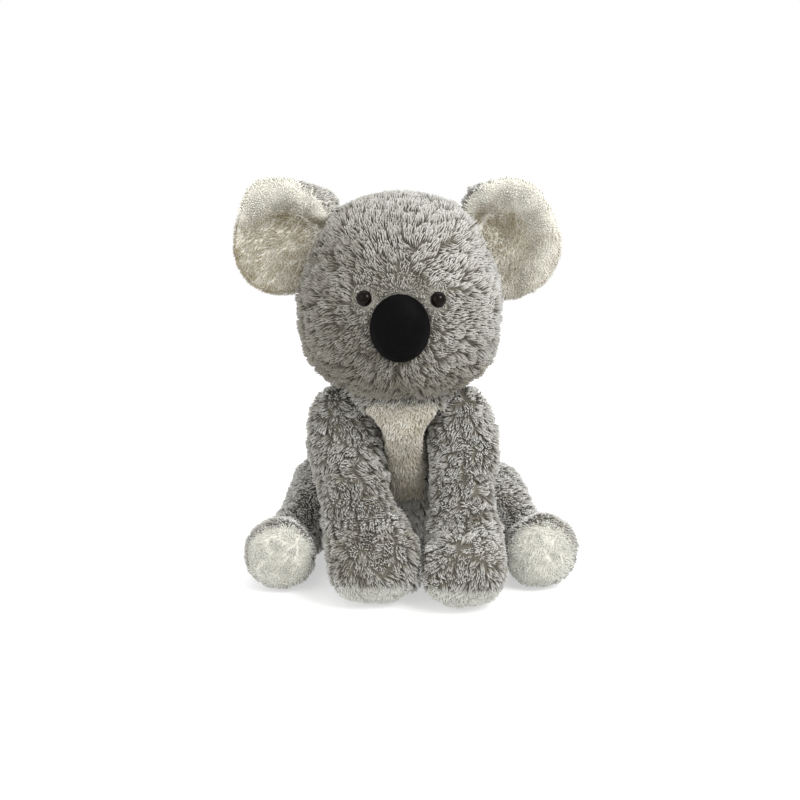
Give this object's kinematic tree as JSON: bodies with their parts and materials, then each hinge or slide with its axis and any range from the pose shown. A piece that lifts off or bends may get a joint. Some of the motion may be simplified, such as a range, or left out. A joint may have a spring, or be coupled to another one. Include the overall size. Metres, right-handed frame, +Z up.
{
  "type": "plush koala",
  "caption": "Seated plush koala: stuffed head, torso and limbs sewn together, cupped pale-lined ears, satin nose pad, domed eyes; ears, neck, arms and legs flex and spring back.",
  "frame": {"origin": "on the surface it sits on, under the middle of the bounding box", "axes": "+Z up through the head, -Y the way the face looks, +X to the right of someone looking at the face"},
  "size_m": [0.2347, 0.1962, 0.2739],
  "materials": {
    "grey_plush": "shaggy warm grey long-pile plush",
    "cream_plush": "short soft cream plush",
    "black_satin": "padded black satin with a soft sheen",
    "dark_gloss": "glossy brown-black moulded eye",
    "white_plastic": "plain moulded washer, out of sight",
    "fibre_filling": "loose white polyester fibre, out of sight"
  },
  "bodies": {
    "torso": {"torso_skin": "grey_plush", "chest_panel": "cream_plush", "torso_filling": "fibre_filling"},
    "head": {"head_skin": "grey_plush", "head_filling": "fibre_filling", "nose_cap": "black_satin", "nose_padding": "fibre_filling", "left_eye": "dark_gloss", "right_eye": "dark_gloss", "left_eye_washer": "white_plastic", "right_eye_washer": "white_plastic"},
    "left_ear": {"left_ear_lining": "cream_plush", "left_ear_back": "grey_plush"},
    "right_ear": {"right_ear_lining": "cream_plush", "right_ear_back": "grey_plush"},
    "left_arm": {"left_arm_skin": "grey_plush", "left_paw_pad": "cream_plush", "left_arm_filling": "fibre_filling"},
    "right_arm": {"right_arm_skin": "grey_plush", "right_paw_pad": "cream_plush", "right_arm_filling": "fibre_filling"},
    "left_leg": {"left_leg_skin": "grey_plush", "left_sole": "cream_plush", "left_leg_filling": "fibre_filling"},
    "right_leg": {"right_leg_skin": "grey_plush", "right_sole": "cream_plush", "right_leg_filling": "fibre_filling"}
  },
  "joints": [
    {"name": "neck_nod", "type": "hinge", "parent": "torso", "child": "head", "pos_m": [-0.0033, 0.0075, 0.122], "axis": [1, 0, 0], "range_deg": [-12, 12], "stiffness_Nm_per_rad": 1.2},
    {"name": "left_ear_fold", "type": "hinge", "parent": "head", "child": "left_ear", "pos_m": [-0.06013, 0.0095, 0.22445], "axis": [0.454, 0, 0.891], "range_deg": [-15, 15], "stiffness_Nm_per_rad": 0.05},
    {"name": "right_ear_fold", "type": "hinge", "parent": "head", "child": "right_ear", "pos_m": [0.05248, 0.0095, 0.22642], "axis": [0.4848, 0, -0.8746], "range_deg": [-15, 15], "stiffness_Nm_per_rad": 0.05},
    {"name": "left_arm_lift", "type": "hinge", "parent": "torso", "child": "left_arm", "pos_m": [-0.0433, -0.0045, 0.104], "axis": [-1, 0, 0], "range_deg": [-5, 35], "stiffness_Nm_per_rad": 0.4},
    {"name": "right_arm_lift", "type": "hinge", "parent": "torso", "child": "right_arm", "pos_m": [0.0367, -0.0045, 0.104], "axis": [-1, 0, 0], "range_deg": [-5, 35], "stiffness_Nm_per_rad": 0.4},
    {"name": "left_leg_lift", "type": "hinge", "parent": "torso", "child": "left_leg", "pos_m": [-0.0543, 0.0475, 0.0325], "axis": [-1, 0, 0], "range_deg": [-5, 20], "stiffness_Nm_per_rad": 0.4},
    {"name": "right_leg_lift", "type": "hinge", "parent": "torso", "child": "right_leg", "pos_m": [0.0577, 0.0475, 0.0325], "axis": [-1, 0, 0], "range_deg": [-5, 20], "stiffness_Nm_per_rad": 0.4}
  ]
}
